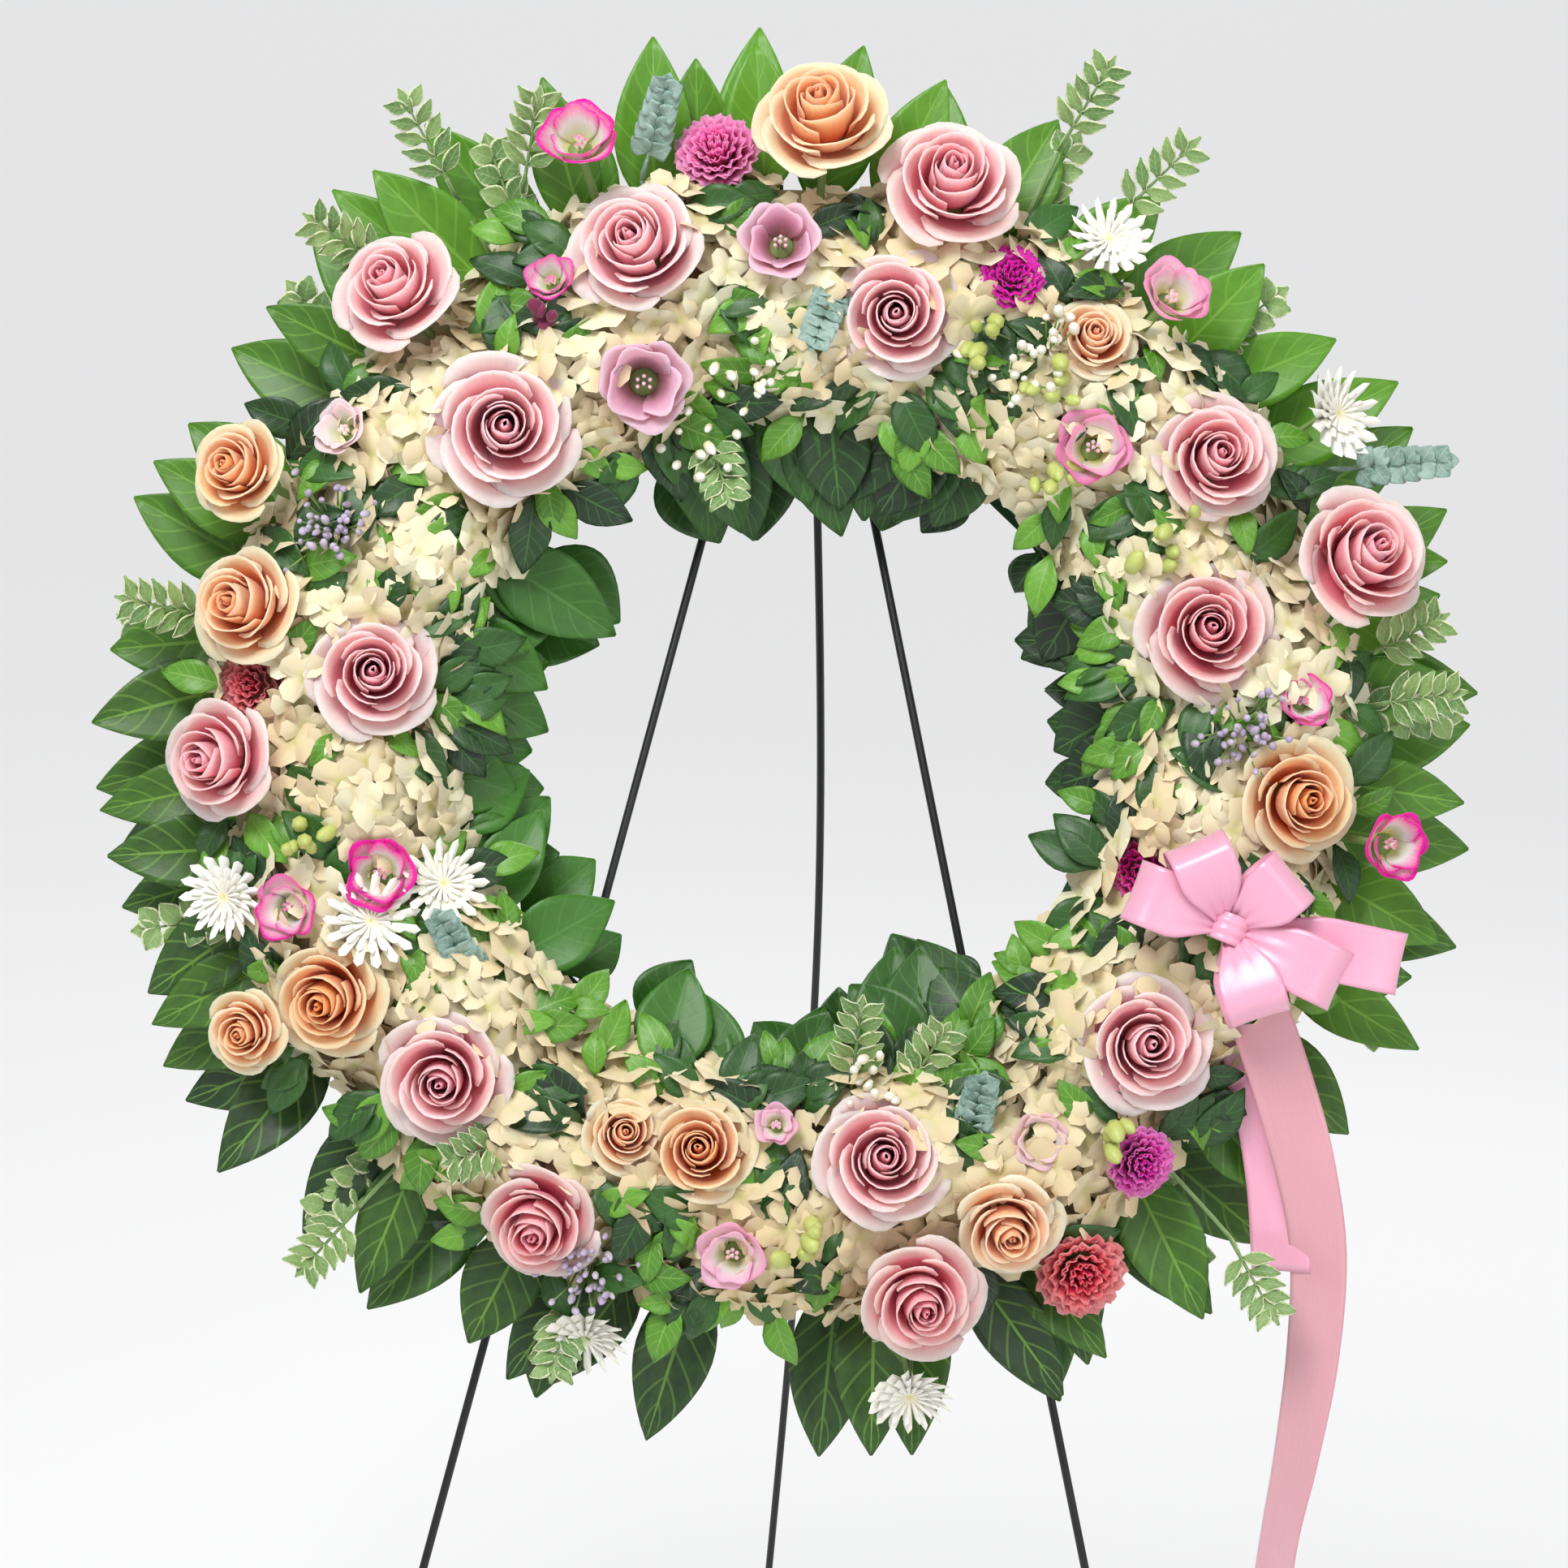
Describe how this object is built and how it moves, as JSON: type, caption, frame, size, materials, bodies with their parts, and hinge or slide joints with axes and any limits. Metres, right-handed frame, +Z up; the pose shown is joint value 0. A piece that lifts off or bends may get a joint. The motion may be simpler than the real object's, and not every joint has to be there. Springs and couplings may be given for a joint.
{
  "type": "funeral wreath",
  "caption": "Round funeral wreath of roses, hydrangea, lisianthus and salal leaves with a satin bow, on a folding wire easel.",
  "frame": {"origin": "on the floor, under the middle of the part's box", "axes": "+Z up, -Y towards the viewer of the flowers, +X to that viewer's right"},
  "size_m": [0.802, 0.5974, 1.2436],
  "materials": {
    "pink_petal": "soft matt petal, pink",
    "peach_petal": "soft matt petal, peach",
    "lisianthus_petal": "thin petal, pink with a pale throat",
    "hot_pink_petal": "frilled petal, hot pink",
    "coral_petal": "frilled petal, coral",
    "magenta_petal": "frilled petal, magenta",
    "satin_ribbon": "glossy pink satin",
    "floral_foam": "soaked green foam, matt",
    "tray_plastic": "moulded dark green",
    "cream_floret": "thin cream petals",
    "salal_leaf": "waxy green leaf",
    "variegated_leaf": "cream-edged grey-green leaf",
    "black_wire": "satin black paint"
  },
  "bodies": {
    "wreath_stand": {"coral_carnation_2": "coral_petal", "coral_carnation_3": "coral_petal", "easel_hinge_bar": "black_wire", "easel_left_leg": "black_wire", "easel_right_leg": "black_wire", "foam_ring": "floral_foam", "hot_pink_carnation_1": "hot_pink_petal", "hot_pink_carnation_4": "hot_pink_petal", "hydrangea_1": "cream_floret", "hydrangea_2": "cream_floret", "hydrangea_3": "cream_floret", "hydrangea_4": "cream_floret", "hydrangea_5": "cream_floret", "lisianthus_1": "lisianthus_petal", "lisianthus_2": "lisianthus_petal", "lisianthus_3": "lisianthus_petal", "lisianthus_4": "lisianthus_petal", "lisianthus_5": "lisianthus_petal", "lisianthus_6": "lisianthus_petal", "lisianthus_7": "lisianthus_petal", "lisianthus_8": "lisianthus_petal", "magenta_carnation_5": "magenta_petal", "magenta_carnation_6": "magenta_petal", "peach_rose_1": "peach_petal", "peach_rose_2": "peach_petal", "peach_rose_3": "peach_petal", "peach_rose_4": "peach_petal", "peach_rose_5": "peach_petal", "peach_rose_6": "peach_petal", "peach_rose_7": "peach_petal", "peach_rose_8": "peach_petal", "pink_rose_01": "pink_petal", "pink_rose_02": "pink_petal", "pink_rose_03": "pink_petal", "pink_rose_04": "pink_petal", "pink_rose_05": "pink_petal", "pink_rose_06": "pink_petal", "pink_rose_07": "pink_petal", "pink_rose_08": "pink_petal", "pink_rose_09": "pink_petal", "pink_rose_10": "pink_petal", "pink_rose_11": "pink_petal", "pink_rose_12": "pink_petal", "pink_rose_13": "pink_petal", "pink_rose_14": "pink_petal", "pink_rose_15": "pink_petal", "ribbon_tail": "satin_ribbon", "ring_tray": "tray_plastic", "salal_inner_1": "salal_leaf", "salal_inner_2": "salal_leaf", "salal_inner_3": "salal_leaf", "salal_inner_4": "salal_leaf", "salal_outer_1": "salal_leaf", "salal_outer_2": "salal_leaf", "salal_outer_3": "salal_leaf", "satin_bow": "satin_ribbon", "variegated_sprigs_1": "variegated_leaf", "variegated_sprigs_2": "variegated_leaf", "variegated_sprigs_3": "variegated_leaf"},
    "rear_leg": {"easel_rear_leg": "black_wire"}
  },
  "joints": [
    {"name": "rear_leg_fold", "type": "hinge", "parent": "wreath_stand", "child": "rear_leg", "pos_m": [-0.0004, -0.03158, 1.14243], "axis": [1, 0, 0], "range_deg": [-26, 0]}
  ]
}
